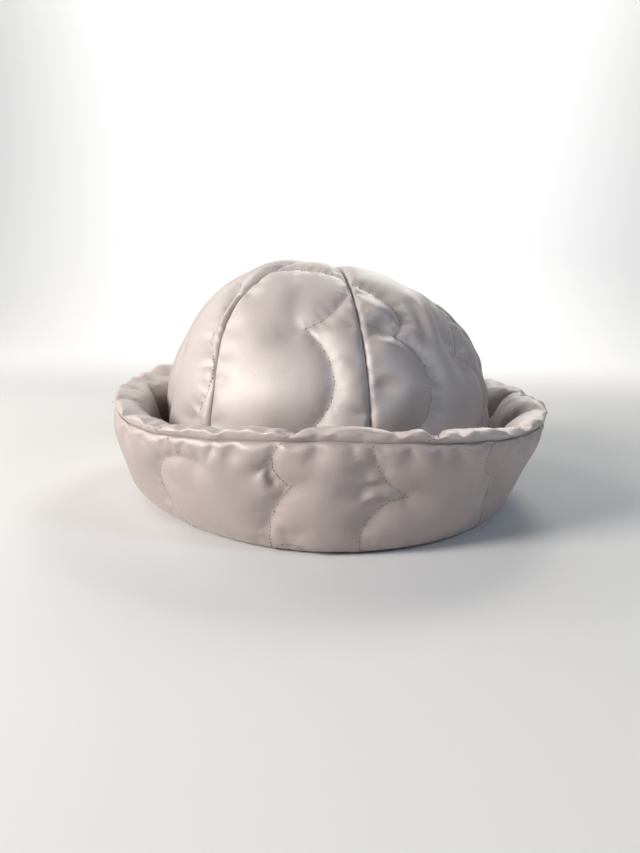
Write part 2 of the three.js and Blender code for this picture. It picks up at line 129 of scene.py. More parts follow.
# %% [markdown]
# ## The brim's pattern
# The brim is two layers of cloth, sewn together below its lip. The outer one starts under the crown,
# makes the fold that the hat stands on and goes up the outside. The facing starts at the seam, rolls
# over the lip and goes down beside the crown. A middle line parts the two, and a table of sections says
# how the soft brim leans and sags on its way round.

# %% The brim's sections
BRIM_OUTSIDE = np.array([
    (88.6, 8.6), (88.8, 3.6), (93, 0.5), (99, 0), (106, 0), (111.8, 1.8), (116.2, 8), (118.8, 16),
    (121.3, 24), (123.8, 32), (126.3, 39.8), (128.9, 48), (131.2, 54.6), (130.9, 57.2)], float)
BRIM_MIDDLE = np.array([
    (89.2, 8.6), (100.6, 8.6), (107.4, 11), (111.5, 18.5), (115.8, 31), (120.6, 44), (125.4, 53),
    (131, 57.5)], float)
BRIM_INSIDE = np.array([
    (131, 57.9), (132.8, 59.2), (131.6, 61.4), (126.4, 62.4), (120.4, 59.6), (116, 52),
    (112.8, 42.6), (109.9, 34), (107.3, 25.4), (104.8, 17), (102.6, 10)], float)
# angle, fold, rim, lift
BRIM_SECTIONS = np.array([
    (0, 14, 2.2, -1.5), (45, 5, 5.5, -4.5), (90, -10, -1, -2.5), (135, -2, 0.5, 1),
    (180, 5, 2.6, 2.5), (225, 3, 1.5, 5.5), (270, 5, -1.4, 1), (315, 6, 5.5, -6)], float)
FOLD_HELD = 88.0  # up to this radius the brim is round
FOLD_FREE = 112.0  # and from this one on its sections count in full
print("sections round the brim:", len(BRIM_SECTIONS))

# %% The brim's quilting and folds
# points as (angle, up), bulges in millimetres
BRIM_STITCHING = [
    ([(-33, 31), (-31, 78), (-34.5, 89)], [-21, -2]),
    ([(-11.5, 27), (-7, 65), (-8.5, 89)], [-5, -7]),
    ([(-11.3, 29.5), (-5, 31.5)], [-3.6]),
    ([(8, 27), (17, 60), (8.4, 89)], [-10, -5]),
    ([(40, 27), (38, 67), (36, 89)], [2, -5]),
    ([(61, 27), (66, 73), (62, 89)], [-15, -3]),
    ([(86, 27), (91, 59), (88, 89)], [-7, -9]),
    ([(110, 27), (116, 68), (112, 89)], [-12, -4]),
    ([(135, 27), (140, 56), (137, 89)], [-6, -10]),
    ([(159, 27), (165, 73), (160, 89)], [-15, -3]),
    ([(184, 27), (189, 61), (186, 89)], [-8, -8]),
    ([(209, 27), (215, 70), (210, 89)], [-13, -4]),
    ([(234, 27), (239, 58), (236, 89)], [-7, -9]),
    ([(258, 27), (264, 73), (260, 89)], [-14, -3]),
    ([(287, 27), (291, 60), (288, 89)], [-8, -8]),
]
# angle and up, from and to
BRIM_TUCKS = [
    ((9.3, 74.5), (6.6, 74.5)), ((11, 65.5), (6.8, 65)), ((-7, 65), (-9.6, 66.5)),
    ((-11.2, 76), (-13.6, 73)), ((-31, 78), (-27.5, 75)), ((-8, 40), (-6, 39.5)), ((36.4, 68), (35.4, 62)),
]
# soft folds of the brim: from and to as angle and up, then height and width in millimetres
BRIM_FOLDS = [
    ((-39, 66), (-30, 56), -0.9, 4), ((-37, 58), (-30, 46), 0.8, 4), ((-27, 88), (-27.5, 74), -1.0, 3.5),
    ((-23.5, 88), (-23, 72), 0.8, 4), ((-19, 88), (-19.5, 74), -0.9, 4), ((-15, 86), (-15.5, 70), 0.6, 4),
    ((-11.4, 76), (-10.7, 69.5), -4.4, 2.2), ((-10.7, 69.5), (-7.6, 64.5), -4.4, 2.2),
    ((-14, 75), (-12, 64), 1.4, 3), ((-2, 88), (-2.4, 76), -0.7, 4),
    ((3, 88), (3.4, 74), 0.6, 5),
    ((11.2, 75.5), (8, 74), -3.2, 1.8), ((7.6, 73), (7.6, 70.5), -2.4, 1.8),
    ((9.8, 71.8), (8.6, 71.6), 1.2, 1.8), ((11.5, 67.5), (7.4, 66), -3.4, 1.9),
    ((6.8, 64.5), (6.8, 61), -2.6, 1.9), ((10.5, 62.5), (8.4, 61.8), 1.2, 1.9),
    ((12.5, 58.5), (8, 57), -2.8, 2.0),
    ((34, 84), (36, 62), -1.3, 4.5), ((31, 80), (32, 62), 0.8, 5), ((24, 88), (23, 78), -0.6, 4),
    ((40, 60), (44, 46), -0.9, 6), ((-5, 34), (1, 33), 0.9, 3), ((70, 80), (74, 50), -0.9, 6),
    ((100, 84), (103, 54), 0.9, 7), ((148, 80), (150, 50), -0.9, 6), ((197, 84), (200, 56), 0.8, 7),
    ((222, 80), (226, 50), -0.9, 6), ((270, 84), (272, 52), -0.9, 6), ((279, 80), (281, 56), 0.8, 6),
]
# and of the lip, from the seam over into the trough
LIP_FOLDS = [
    ((-52, 2), (-50, 16), -1.0, 4), ((-42, 3), (-43, 18), 0.8, 5), ((-27, 1), (-25, 12), -1.2, 3),
    ((-19, 1), (-20, 10), 0.7, 4), ((-13, 1), (-12, 11), -1.3, 2.4), ((-3, 0), (-1, 10), -1.4, 2.4),
    ((5, 1), (4, 9), 0.7, 4), ((12, 0), (15.5, 12), -2.0, 2.2), ((16.5, 1), (20, 12), 1.5, 3),
    ((23.5, 0), (21.5, 13), -2.3, 2.2), ((31, 0), (33, 11), -1.2, 3), ((37, 1), (41, 14), 1.1, 3.4),
    ((50, 0), (47, 22), -1.5, 5), ((58, 2), (56, 26), 1.3, 6), ((63, 0), (66, 18), -1.3, 5),
    ((76, 2), (73, 28), 1.2, 7), ((84, 0), (85, 22), -1.2, 5), ((101, 2), (99, 30), 1.1, 7),
    ((128, 0), (131, 26), -1.2, 6), ((152, 2), (150, 28), 1.1, 7), ((176, 0), (179, 24), -1.2, 6),
    ((201, 2), (199, 30), 1.1, 7), ((227, 0), (230, 26), -1.2, 6), ((252, 2), (250, 28), 1.1, 7),
    ((259, 1), (257, 24), -1.2, 5), ((273, 0), (275, 26), -1.2, 6), ((281, 2), (284, 22), 1.2, 5),
]
# the facing's lines, as the brim's
FACING_STITCHING = [
    ([(-38, 0), (-34, 40), (-36, 66)], [5, 7]),
    ([(-9, 0), (-5, 31), (-9, 66)], [4, 9]),
    ([(19, 0), (22, 45), (19, 66)], [8, 3]),
    ([(44, 0), (47, 33), (44, 66)], [4, 8]),
    ([(68, 0), (72, 42), (69, 66)], [7, 4]),
    ([(93, 0), (96, 30), (92, 66)], [3, 9]),
    ([(118, 0), (121, 44), (118, 66)], [8, 3]),
    ([(142, 0), (146, 32), (142, 66)], [4, 9]),
    ([(167, 0), (170, 41), (167, 66)], [7, 4]),
    ([(192, 0), (195, 34), (191, 66)], [4, 8]),
    ([(216, 0), (220, 43), (217, 66)], [7, 4]),
    ([(241, 0), (244, 31), (240, 66)], [4, 9]),
    ([(265, 0), (269, 42), (266, 66)], [7, 4]),
    ([(292, 0), (296, 33), (293, 66)], [4, 8]),
]
print("brim: %d stitched lines, %d loose folds; facing: %d and %d"
      % (len(BRIM_STITCHING), len(BRIM_FOLDS), len(FACING_STITCHING), len(LIP_FOLDS)))

# %% [markdown]
# ## Curves of the pattern
# A tailor's curve runs smoothly through a few marks. A Catmull-Rom spline does the same, and reading it
# by its length keeps every measurement along the cloth true.

# %% Smooth curves
def smooth_step(x, low, high):
    t = np.clip((x - low) / (high - low), 0, 1)
    return t * t * (3 - 2 * t)


class PatternCurve:
    """A smooth line through rows of (radius, height), read by the length along it."""

    def __init__(self, rows, steps=40):
        marks = np.vstack([rows[:1], rows, rows[-1:]])
        points = []
        for a, b, c, d in zip(marks, marks[1:], marks[2:], marks[3:]):
            t = np.linspace(0, 1, steps, endpoint=False)[:, None]
            points.append(0.5 * (2 * b + (c - a) * t + (2 * a - 5 * b + 4 * c - d) * t**2
                                 + (-a + 3 * b - 3 * c + d) * t**3))
        self.points = np.vstack(points + [rows[-1:]])
        steps_along = np.hypot(*np.diff(self.points, axis=0).T)
        self.up = np.concatenate([[0], np.cumsum(steps_along)])
        self.length = self.up[-1]
        run = np.gradient(self.points, self.up, axis=0)
        self.run = run / np.hypot(*run.T)[:, None]

    def at(self, up):
        radius, height = (np.interp(up, self.up, column) for column in self.points.T)
        run_r, run_z = (np.interp(up, self.up, column) for column in self.run.T)
        return radius, height, run_z, -run_r


meridian = PatternCurve(CROWN_PROFILE)
brim_outside = PatternCurve(BRIM_OUTSIDE)
brim_inside = PatternCurve(BRIM_INSIDE)
print("along the cloth, mm: crown %.1f, brim outside %.1f, brim inside %.1f"
      % (meridian.length, brim_outside.length, brim_inside.length))

# %% [markdown]
# ## Stitched lines
# A scalloped line is a chain of arcs. What the cloth needs from it is how far away it is, and where its
# nearest point lies, and for an arc both are short formulas.

# %% Arcs
TUCK_BULGE = 0.2


def arc_between(start, end, bulge):
    start, end = np.array(start, float), np.array(end, float)
    chord = np.hypot(*(end - start))
    radius = chord**2 / (8 * abs(bulge)) + abs(bulge) / 2
    normal = np.array([(end - start)[1], -(end - start)[0]]) / chord * np.sign(bulge)
    centre = (start + end) / 2 + normal * (abs(bulge) - radius)
    half = math.acos(max(-1, min(1, (radius - abs(bulge)) / radius)))
    return dict(start=start, end=end, radius=radius, normal=normal, centre=centre, half=half)


def nearest_stitch(arcs, across, up):
    """The distance to the nearest arc at each point, and the point of the arc that is nearest."""
    here = np.stack([across, up], -1)
    distance = np.full(across.shape, 1e9)
    nearest = here.copy()
    for arc in arcs:
        away = here - arc["centre"]
        reach = np.maximum(np.hypot(away[..., 0], away[..., 1]), 1e-9)
        facing = (away @ arc["normal"]) / reach >= math.cos(arc["half"])
        on_arc = arc["centre"] + away * (arc["radius"] / reach)[..., None]
        to_start = np.hypot(*np.moveaxis(here - arc["start"], -1, 0))
        to_end = np.hypot(*np.moveaxis(here - arc["end"], -1, 0))
        tip = np.where((to_start < to_end)[..., None], arc["start"], arc["end"])
        found = np.where(facing[..., None], on_arc, tip)
        gap = np.where(facing, np.abs(reach - arc["radius"]), np.minimum(to_start, to_end))
        closer = gap < distance
        distance = np.where(closer, gap, distance)
        nearest = np.where(closer[..., None], found, nearest)
    return distance, nearest


def arcs_of(points, bulges):
    return [arc_between(a, b, bulge) for a, b, bulge in zip(points, points[1:], bulges)]


def tuck(start, end):
    return arc_between(start, end, TUCK_BULGE)


def walk(arcs, step=0.8):
    """Points along a chain of arcs, closely spaced."""
    track = []
    for arc in arcs:
        count = max(2, int(2 * arc["half"] * arc["radius"] / step))
        first = math.atan2(*(arc["start"] - arc["centre"])[::-1])
        last = math.atan2(*(arc["end"] - arc["centre"])[::-1])
        sweep = (last - first + math.pi) % (2 * math.pi) - math.pi
        turn = first + sweep * np.linspace(0, 1, count)
        track.append(arc["centre"] + arc["radius"] * np.stack([np.cos(turn), np.sin(turn)], -1))
    return np.vstack(track)


line_lengths = [sum(2 * arc["half"] * arc["radius"] for arc in arcs_of(points, bulges))
                for panel, points, bulges in CROWN_STITCHING]
print("quilting lines of the crown, mm: %.0f to %.0f" % (min(line_lengths), max(line_lengths)))

# %% [markdown]
# ## Fullness, folds and puckers
# Padding rises steeply beside a stitch and is level further away, like a pillow. A loose fold is a
# smooth ridge or valley along a line, and thread draws small waves across itself. Each of them is a
# height that a formula gives at any point of the cloth, so they can be added to one another.

# %% Heights out of the cloth
FOLD_TAPER = 0.5  # how much lower a fold is at its ends
PUCKER_WAVE = 1.15  # radians of a pucker's wave in a millimetre of thread
PUCKER_UNEVEN = 2.2  # how far the waves are shifted, in radians
PUCKER_SLOW = 0.19  # and how slowly that changes along the thread
PUCKER_FADE = 3.0
PILLOW_ROUND = 0.7


def soft_folds(folds, across, up):
    """How far loose folds lift the cloth: each is a ridge or a valley that fades out at its ends."""
    lift = np.zeros(across.shape)
    for start, end, height, width in folds:
        start, end = np.array(start, float), np.array(end, float)
        run = end - start
        along = ((across - start[0]) * run[0] + (up - start[1]) * run[1]) / (run @ run)
        inside = np.clip(along, 0, 1)
        away = np.hypot(across - start[0] - inside * run[0], up - start[1] - inside * run[1])
        lift += height * np.exp(-((away / width) ** 2)) * (1 - FOLD_TAPER * np.abs(2 * inside - 1))
    return lift


def puckers(arcs, across, up, height, reach):
    """Small waves across each stitched line, where the thread has drawn the cloth together."""
    lift = np.zeros(across.shape)
    for arc in arcs:
        x, y = np.moveaxis(np.stack([across, up], -1) - arc["centre"], -1, 0)
        from_centre = np.maximum(np.hypot(x, y), 1e-9)
        beside = (x * arc["normal"][0] + y * arc["normal"][1]) / from_centre >= math.cos(arc["half"])
        along = arc["radius"] * np.arctan2(x * arc["normal"][1] - y * arc["normal"][0],
                                           x * arc["normal"][0] + y * arc["normal"][1])
        away = np.abs(from_centre - arc["radius"]) / reach
        uneven = PUCKER_UNEVEN * np.sin(along * PUCKER_SLOW + arc["radius"])
        wave = np.sin(along * PUCKER_WAVE + uneven + arc["radius"])
        lift += beside * height * wave * away * np.exp(1 - away) * np.exp(-(away / PUCKER_FADE) ** 2)
    return lift


def pillow(distance):
    share = np.clip(distance / PUFF_REACH, 0, 1)
    return (1 - (1 - share) ** 2) ** PILLOW_ROUND


print("fullness 2, 6 and 12 mm from a stitch:", pillow(np.array([2.0, 6.0, 12.0])).round(2))

# %% [markdown]
# ## Where the cloth lies
# A point on the hat is an angle, a length up the cloth and a distance out of it. These functions turn
# those into a place. The brim is soft, so its section changes a little on the way round, and a closed
# spline through the table of sections carries the change smoothly past the place where it starts.

# %% Places on the crown
SEAM_SWAY = (0.28, 0.62)  # shares of the way up between which a seam takes its upper angle
LEAN_OVER = (0.4, 0.9)  # and between which the top begins to lean


def panel_span(number, up):
    """The angle of a panel's middle line and half its width in angle, at a length up the cloth."""
    sway = smooth_step(up / meridian.length, *SEAM_SWAY)
    left, right = SEAMS[number], SEAMS[(number + 1) % len(SEAMS)]
    start = np.radians(left[0] + (left[1] - left[0]) * sway)
    end = np.radians(right[0] + (right[1] - right[0]) * sway)
    end = end + (2 * math.pi if number == len(SEAMS) - 1 else 0)
    return (start + end) / 2, (end - start) / 2


def half_width_at(number, up):
    return np.maximum(meridian.at(up)[0], 0.01) * panel_span(number, up)[1]


def crown_place(number, share, up, out):
    """A place on a panel: share runs from -1 to 1 between its seams."""
    middle, half = panel_span(number, up)
    radius, height, out_r, out_z = meridian.at(up)
    shaped = smooth_step(up, 0, SHAPED)
    radius = radius * (1 + FLATNESS * shaped * (np.cos(half) / np.cos(share * half) - CHORD_MEAN))
    radius, height = radius + out_r * out, height + out_z * out
    angle = middle + share * half
    x = radius * np.sin(angle)
    lean = smooth_step(up / meridian.length, *LEAN_OVER)
    y, z = -radius * OVAL * np.cos(angle), height - TOP_LEAN * x * lean
    return np.stack([x + CROWN_SHIFT * shaped, y, z], -1)


print("half a panel's width at its foot, mm:",
      [round(float(half_width_at(number, 0.0)), 1) for number in range(len(SEAMS))])

# %% Places on the brim
LIFT_FROM = 8  # heights of the brim from which it sags
SEAM_WAVE_OVER = (46, 56)  # and between which the seam's waves begin
SEAM_WAVE = 0.2  # how far the seam below the lip wanders up and down
SEAM_WAVES = [(1, 23, 1), (0.7, 41, 2.5), (0.4, 67, 0)]  # size, waves round the brim, start


def section_at(angle):
    count = len(BRIM_SECTIONS)
    place = (angle / (2 * math.pi)) % 1 * count
    row = np.floor(place).astype(int)
    t = (place - row)[..., None]
    a, b, c, d = (BRIM_SECTIONS[(row + step) % count, 1:] for step in (-1, 0, 1, 2))
    blend = 0.5 * (2 * b + (c - a) * t + (2 * a - 5 * b + 4 * c - d) * t**2
                   + (-a + 3 * b - 3 * c + d) * t**3)
    return np.moveaxis(blend, -1, 0)


def seam_wander(angle):
    """An uneven wave round the brim, because no seam is sewn quite straight."""
    return sum(size * np.sin(waves * angle + start) for size, waves, start in SEAM_WAVES)


def brim_place(angle, radius, height):
    fold, rim, lift = section_at(angle)
    rise = np.clip(height / BRIM_HEIGHT, 0, 1)
    free = smooth_step(radius, FOLD_HELD, FOLD_FREE)
    r = radius + free * (fold * (1 - rise) + rim * rise)
    z = height + lift * smooth_step(height, LIFT_FROM, BRIM_HEIGHT) * free
    z = z + SEAM_WAVE * seam_wander(angle) * smooth_step(height, *SEAM_WAVE_OVER)
    return np.stack([r * np.sin(angle), -r * OVAL * np.cos(angle), z], -1)


front_lip = brim_place(np.zeros(1), *BRIM_INSIDE[3])[0]
print("top of the lip in front, mm:", front_lip.round(1))

# %% [markdown]
# ## Skins of cloth
# A skin is a grid of points on the outside of a panel. Where a stitch line passes, the nearest points
# of the grid are moved onto it, so that the line is sharp without a special mesh for every curve. Those
# points, and the edges of the piece, are where the thread holds the cloth down.

# %% Skins of the crown, before they swell
chance = np.random.default_rng(7)
SNAP = 0.48  # share of a cell within which a point is moved onto the stitching
WIDEST_UP = 40.0  # about where a panel is widest
SEAM_TUCKS = 9  # small tucks along each seam: how many, how far apart, how long and how slanted
TUCKS_APART = (9, 26)
TUCK_LENGTH = (2, 5)
TUCK_SLOPE = (-1.5, 1.5)
TUCKS_BELOW = 0.8  # of the way up
TOP_HELD = 6


def seam_shift(number):
    """How far a panel stands off the axis, so that a seam's gap is left beside it."""
    middle, half = panel_span(number, 0.0)
    return np.array([math.sin(middle), -math.cos(middle), 0]) * SEAM_GAP / 2 / math.sin(half)


def crown_skin(number):
    rows = round(meridian.length / CLOTH_STEP)
    columns = round(2 * half_width_at(number, WIDEST_UP) / CLOTH_STEP)
    up, share = np.meshgrid(np.linspace(0, meridian.length, rows + 1),
                            np.linspace(-1, 1, columns + 1), indexing="ij")
    half_width = half_width_at(number, up)
    sewn = [arc for panel, points, bulges in CROWN_STITCHING if panel == number
            for arc in arcs_of(points, bulges)]
    arcs = sewn + [tuck(a, b) for panel, a, b in CROWN_TUCKS if panel == number]
    for border in (-1, 1):
        for place in np.cumsum(chance.uniform(*TUCKS_APART, SEAM_TUCKS)):
            width = half_width_at(number, place)
            if place < TUCKS_BELOW * meridian.length:
                reach, slope = chance.uniform(*TUCK_LENGTH), chance.uniform(*TUCK_SLOPE)
                arcs.append(tuck((border * width, place), (border * (width - reach), place + slope)))
    distance, nearest = nearest_stitch(arcs, share * half_width, up)
    cell = np.minimum(2 * half_width / columns, CLOTH_STEP)
    edge = np.zeros(up.shape, bool)
    edge[[0, -1]] = edge[:, [0, -1]] = True
    held = ~edge & (distance < SNAP * cell)
    up = np.where(held, nearest[..., 1], up)
    half_width = half_width_at(number, up)
    share = np.where(held, np.clip(nearest[..., 0] / half_width, -1, 1), share)
    to_seam = (1 - np.abs(share)) * half_width
    full = pillow(np.minimum(np.where(held, 0, distance), to_seam)) * np.sqrt(pillow(up))
    near_top = meridian.length - up < TOP_HELD
    return dict(number=number, share=share, across=share * half_width, up=up,
                full=full, held=held | edge | near_top, edge=edge, sewn=sewn)


crown_skins = [crown_skin(number) for number in range(len(SEAMS))]
print("cloth points of the crown:", sum(skin["up"].size for skin in crown_skins))

# %% [markdown]
# The brim's layers go all the way round, so their grids close on themselves. Beside the quilting, small
# tucks run along the seam, where a long edge is gathered onto a shorter one.

# %% Skins of the brim, before they swell
BRIM_START = -60  # degrees at which the grid and the tables begin
BRIM_COLUMNS = 400
SEAM_REACH = 0.5
SEAM_GROOVE = 1.8  # how far the seam below the lip is drawn in
PADDED_OVER = (4, 16)  # heights between which the padding begins, above the fold
GATHERS = 90
GATHER_SLANT = 0.8
GATHERED_TO = 298
ON_THE_FLOOR = 1.2  # below this height the fold is held
TROUGH_HELD = 4  # and at the bottom of the trough the last of the facing


def brim_skin(curve, stitching, tucks, seam_up, rows_held):
    sewn = [arc for points, bulges in stitching
            for arc in arcs_of([(a * MM_PER_DEGREE, u) for a, u in points], bulges)]
    arcs = sewn + [tuck((a * MM_PER_DEGREE, u), (b * MM_PER_DEGREE, w)) for (a, u), (b, w) in tucks]
    rows = round(curve.length / CLOTH_STEP)
    up, degrees = np.meshgrid(np.linspace(0, curve.length, rows + 1),
                              BRIM_START + 360 * np.arange(BRIM_COLUMNS) / BRIM_COLUMNS,
                              indexing="ij")
    distance, nearest = nearest_stitch(arcs, degrees * MM_PER_DEGREE, up)
    edge = np.zeros(up.shape, bool)
    edge[[0, -1]] = True
    held = ~edge & (distance < SNAP * CLOTH_STEP)
    degrees = np.where(held, nearest[..., 0] / MM_PER_DEGREE, degrees)
    up = np.where(held, nearest[..., 1], up)
    full = pillow(np.minimum(np.where(held, 0, distance), np.abs(seam_up - up)))
    return dict(curve=curve, angle=np.radians(degrees), up=up, full=full, sewn=sewn,
                at_seam=np.abs(up - seam_up) < SEAM_REACH,
                held=held | edge | rows_held(up), edge=edge)


def brim_points(skin, puff):
    radius, height, out_r, out_z = skin["curve"].at(skin["up"])
    padded = smooth_step(height, *PADDED_OVER) * ~skin["edge"]
    loft = puff * (skin["full"] - PUFF_MEAN) * padded
    radius, height = radius + out_r * loft - SEAM_GROOVE * skin["at_seam"], height + out_z * loft
    place = brim_place(skin["angle"], radius, height)
    place[..., 2] = np.maximum(place[..., 2], 0)
    return place


def gathers(seam_up, inward, apart, reach):
    """Small tucks all along a seam of the brim, at uneven distances."""
    places = np.cumsum(chance.uniform(*apart, GATHERS)) + BRIM_START
    far = inward * chance.uniform(*reach, GATHERS)
    slant = chance.uniform(-GATHER_SLANT, GATHER_SLANT, GATHERS)
    return [((a, seam_up), (a + lean, seam_up + step))
            for a, step, lean in zip(places, far, slant) if a < GATHERED_TO]


outer_gathers = gathers(brim_outside.length, inward=-1, apart=(3.5, 9), reach=(2, 5.5))
outer_skin = brim_skin(brim_outside, BRIM_STITCHING, BRIM_TUCKS + outer_gathers,
                       brim_outside.length, lambda up: brim_outside.at(up)[1] < ON_THE_FLOOR)
facing_gathers = gathers(0, inward=1, apart=(6, 15), reach=(1.5, 4))
facing_skin = brim_skin(brim_inside, FACING_STITCHING, facing_gathers, 0,
                        lambda up: brim_inside.length - up < TROUGH_HELD)
print("cloth points of the brim:", outer_skin["up"].size, "and of its facing:", facing_skin["up"].size)

# %% [markdown]
# ## Blowing up the padding
# Wadding pushes the satin out, and the satin is a little longer than the stitched line under it, which
# is what makes it pucker. Blender's cloth does both: pressure from behind, and a small negative shrink
# that lets out extra cloth. It is worked ten times life size, where its forces suit its steps, with
# every stitched point held. How far a point may move is capped, so one bad fold can't spoil the piece.

# %% Cloth simulation of all skins of one part
BLOW_UP = 10.0


def grid_faces(rows, columns, around, first=0):
    j, i = np.meshgrid(np.arange(rows - 1), np.arange(columns if around else columns - 1), indexing="ij")
    k = (i + 1) % columns
    corners = np.stack([j * columns + i, j * columns + k, (j + 1) * columns + k, (j + 1) * columns + i], -1)
    return corners.reshape(-1, 4) + first


def swell(name, grids, held, around, pressure, extra, bending, cap, frames=16):
    points = np.vstack([grid.reshape(-1, 3) for grid in grids])
    faces, first = [], 0
    for grid in grids:
        faces.append(grid_faces(*grid.shape[:2], around, first))
        first += grid.shape[0] * grid.shape[1]
    mesh = bpy.data.meshes.new(name)
    mesh.from_pydata((points * MM * BLOW_UP).tolist(), [], np.vstack(faces).tolist())
    cloth_object = bpy.data.objects.new(name, mesh)
    scene.collection.objects.link(cloth_object)
    pins = cloth_object.vertex_groups.new(name="stitched")
    pins.add(np.flatnonzero(np.concatenate([h.ravel() for h in held])).tolist(), 1.0, "REPLACE")
    cloth = cloth_object.modifiers.new("cloth", "CLOTH")
    settings = cloth.settings
    settings.quality = 5
    settings.mass = 0.05
    settings.tension_stiffness = settings.compression_stiffness = 15
    settings.shear_stiffness = 5
    settings.bending_stiffness = bending
    settings.vertex_group_mass = "stitched"
    settings.pin_stiffness = 1
    settings.shrink_min = -extra
    settings.use_pressure = True
    settings.uniform_pressure_force = pressure
    settings.effector_weights.gravity = 0
    cloth.collision_settings.use_collision = False
    cloth.point_cache.frame_start = 1
    cloth.point_cache.frame_end = frames
    for step in range(1, frames + 1):
        scene.frame_set(step)
    swollen = cloth_object.evaluated_get(bpy.context.evaluated_depsgraph_get())
    result = np.empty(points.size, np.float32)
    swollen.data.vertices.foreach_get("co", result)
    result = result.reshape(-1, 3) / (MM * BLOW_UP)
    bpy.data.objects.remove(cloth_object)
    scene.frame_set(1)
    move = result - points
    far = np.linalg.norm(move, axis=1, keepdims=True)
    result = points + move * np.minimum(1, cap / np.maximum(far, 1e-6))
    print(f"{name}: {len(points)} points, moved {far.mean():.2f} mm on average, {far.max():.2f} at most")
    pieces, first = [], 0
    for grid in grids:
        count = grid.shape[0] * grid.shape[1]
        pieces.append(result[first:first + count].reshape(grid.shape))
        first += count
    return pieces


print("the cloth is worked at", BLOW_UP, "times life size")

# %% [markdown]
# ## Loose folds and puckers
# Some folds are held by no thread, and a simulation wouldn't put them where the real hat has them. They
# are laid on after it, along the direction out of the cloth, and they fade where it is sewn down.

# %% Folds on a swollen skin
PUCKER = 0.34
PUCKER_REACH = 2.6


def outward(grid, around):
    """The direction out of the cloth at each point of a skin."""
    rows = np.gradient(grid, axis=0)
    if around:
        columns = (np.roll(grid, -1, 1) - np.roll(grid, 1, 1)) / 2
    else:
        columns = np.gradient(grid, axis=1)
    normal = np.cross(columns, rows)
    return normal / np.maximum(np.linalg.norm(normal, axis=-1, keepdims=True), 1e-9)


def fold(grid, skin, folds, across, around):
    """Loose folds and puckers, which die out where the cloth is sewn down."""
    lift = soft_folds(folds, across, skin["up"]) * np.sqrt(np.clip(skin["full"], 0, 1))
    lift += puckers(skin["sewn"], across, skin["up"], PUCKER, PUCKER_REACH)
    return grid + outward(grid, around) * (lift * ~skin["edge"])[..., None]


def brim_folds(folds):
    return [((a * MM_PER_DEGREE, u), (b * MM_PER_DEGREE, w), height, width)
            for (a, u), (b, w), height, width in folds]


print("puckers: %.2f mm high, %.1f mm from the thread" % (PUCKER, PUCKER_REACH))

# %% Swell and fold the crown
SEAM_TUCK = 1.6  # how far a panel's edge is turned in at its seams
START_PUFF = 0.62  # share of the padding that the cloth starts from

crown_grids = []
for skin in crown_skins:
    out = WALL / 2 + CROWN_PUFF * START_PUFF * skin["full"]
    out = np.where(skin["edge"], WALL / 2 - SEAM_TUCK, out)
    number = skin["number"]
    crown_grids.append(crown_place(number, skin["share"], skin["up"], out) + seam_shift(number))
crown_grids = swell("crown cloth", crown_grids, [s["held"] for s in crown_skins], False,
                    pressure=16, extra=0.014, bending=0.8, cap=5)
for number, skin in enumerate(crown_skins):
    folds = [row[1:] for row in CROWN_FOLDS if row[0] == number]
    crown_grids[number] = fold(crown_grids[number], skin, folds, skin["across"], False)
print("highest point of the crown's cloth, mm: %.1f" % max(grid[..., 2].max() for grid in crown_grids))

# %% Swell and fold the brim
outer_grid, = swell("brim cloth", [brim_points(outer_skin, BRIM_PUFF)], [outer_skin["held"]], True,
                    pressure=10, extra=0.016, bending=0.6, cap=4)
facing_grid, = swell("facing cloth", [brim_points(facing_skin, BRIM_PUFF)], [facing_skin["held"]], True,
                     pressure=11, extra=0.028, bending=0.5, cap=4)
outer_grid = fold(outer_grid, outer_skin, brim_folds(BRIM_FOLDS),
                  np.degrees(outer_skin["angle"]) * MM_PER_DEGREE, True)
facing_grid = fold(facing_grid, facing_skin, brim_folds(LIP_FOLDS),
                   np.degrees(facing_skin["angle"]) * MM_PER_DEGREE, True)
print("highest point of the lip, mm: %.1f" % facing_grid[..., 2].max())

# %% [markdown]
# ## Closing the pieces
# Each skin gets its other side: a crown panel its lining, and a brim layer the hidden face against the
# other layer. A strip joins the two along their edges, so that every piece is one closed form with its
# faces outwards. One level of subdivision then rounds the cells off.

# %% A closed mesh with a map along the cloth
MAP_SCALE = 10  # turns of the map in a metre of cloth


def finish_mesh(name, points, faces, cloth_map, border):
    mesh = bpy.data.meshes.new(name)
    mesh.from_pydata((points * MM).tolist(), [], faces.tolist())
    ends = np.empty(len(mesh.edges) * 2, np.int32)
    mesh.edges.foreach_get("vertices", ends)
    sharp = mesh.attributes.new("crease_edge", "FLOAT", "EDGE")
    sharp.data.foreach_set("value", border[ends.reshape(-1, 2)].all(axis=1).astype(np.float32))
    layer = mesh.uv_layers.new(name="along the cloth")
    corners = np.empty(len(mesh.loops), np.int32)
    mesh.loops.foreach_get("vertex_index", corners)
    layer.data.foreach_set("uv", (cloth_map[corners] * MM * MAP_SCALE).astype(np.float32).ravel())
    piece = bpy.data.objects.new(name, mesh)
    scene.collection.objects.link(piece)
    round_off = piece.modifiers.new("round off", "SUBSURF")
    round_off.levels = round_off.render_levels = 1
    finished = bpy.data.meshes.new_from_object(piece.evaluated_get(bpy.context.evaluated_depsgraph_get()))
    piece.modifiers.clear()
    piece.data = finished
    finished.name = name
    finished.shade_smooth()
    bpy.data.meshes.remove(mesh)
    return piece


print("map: %d turns in a metre of cloth" % MAP_SCALE)

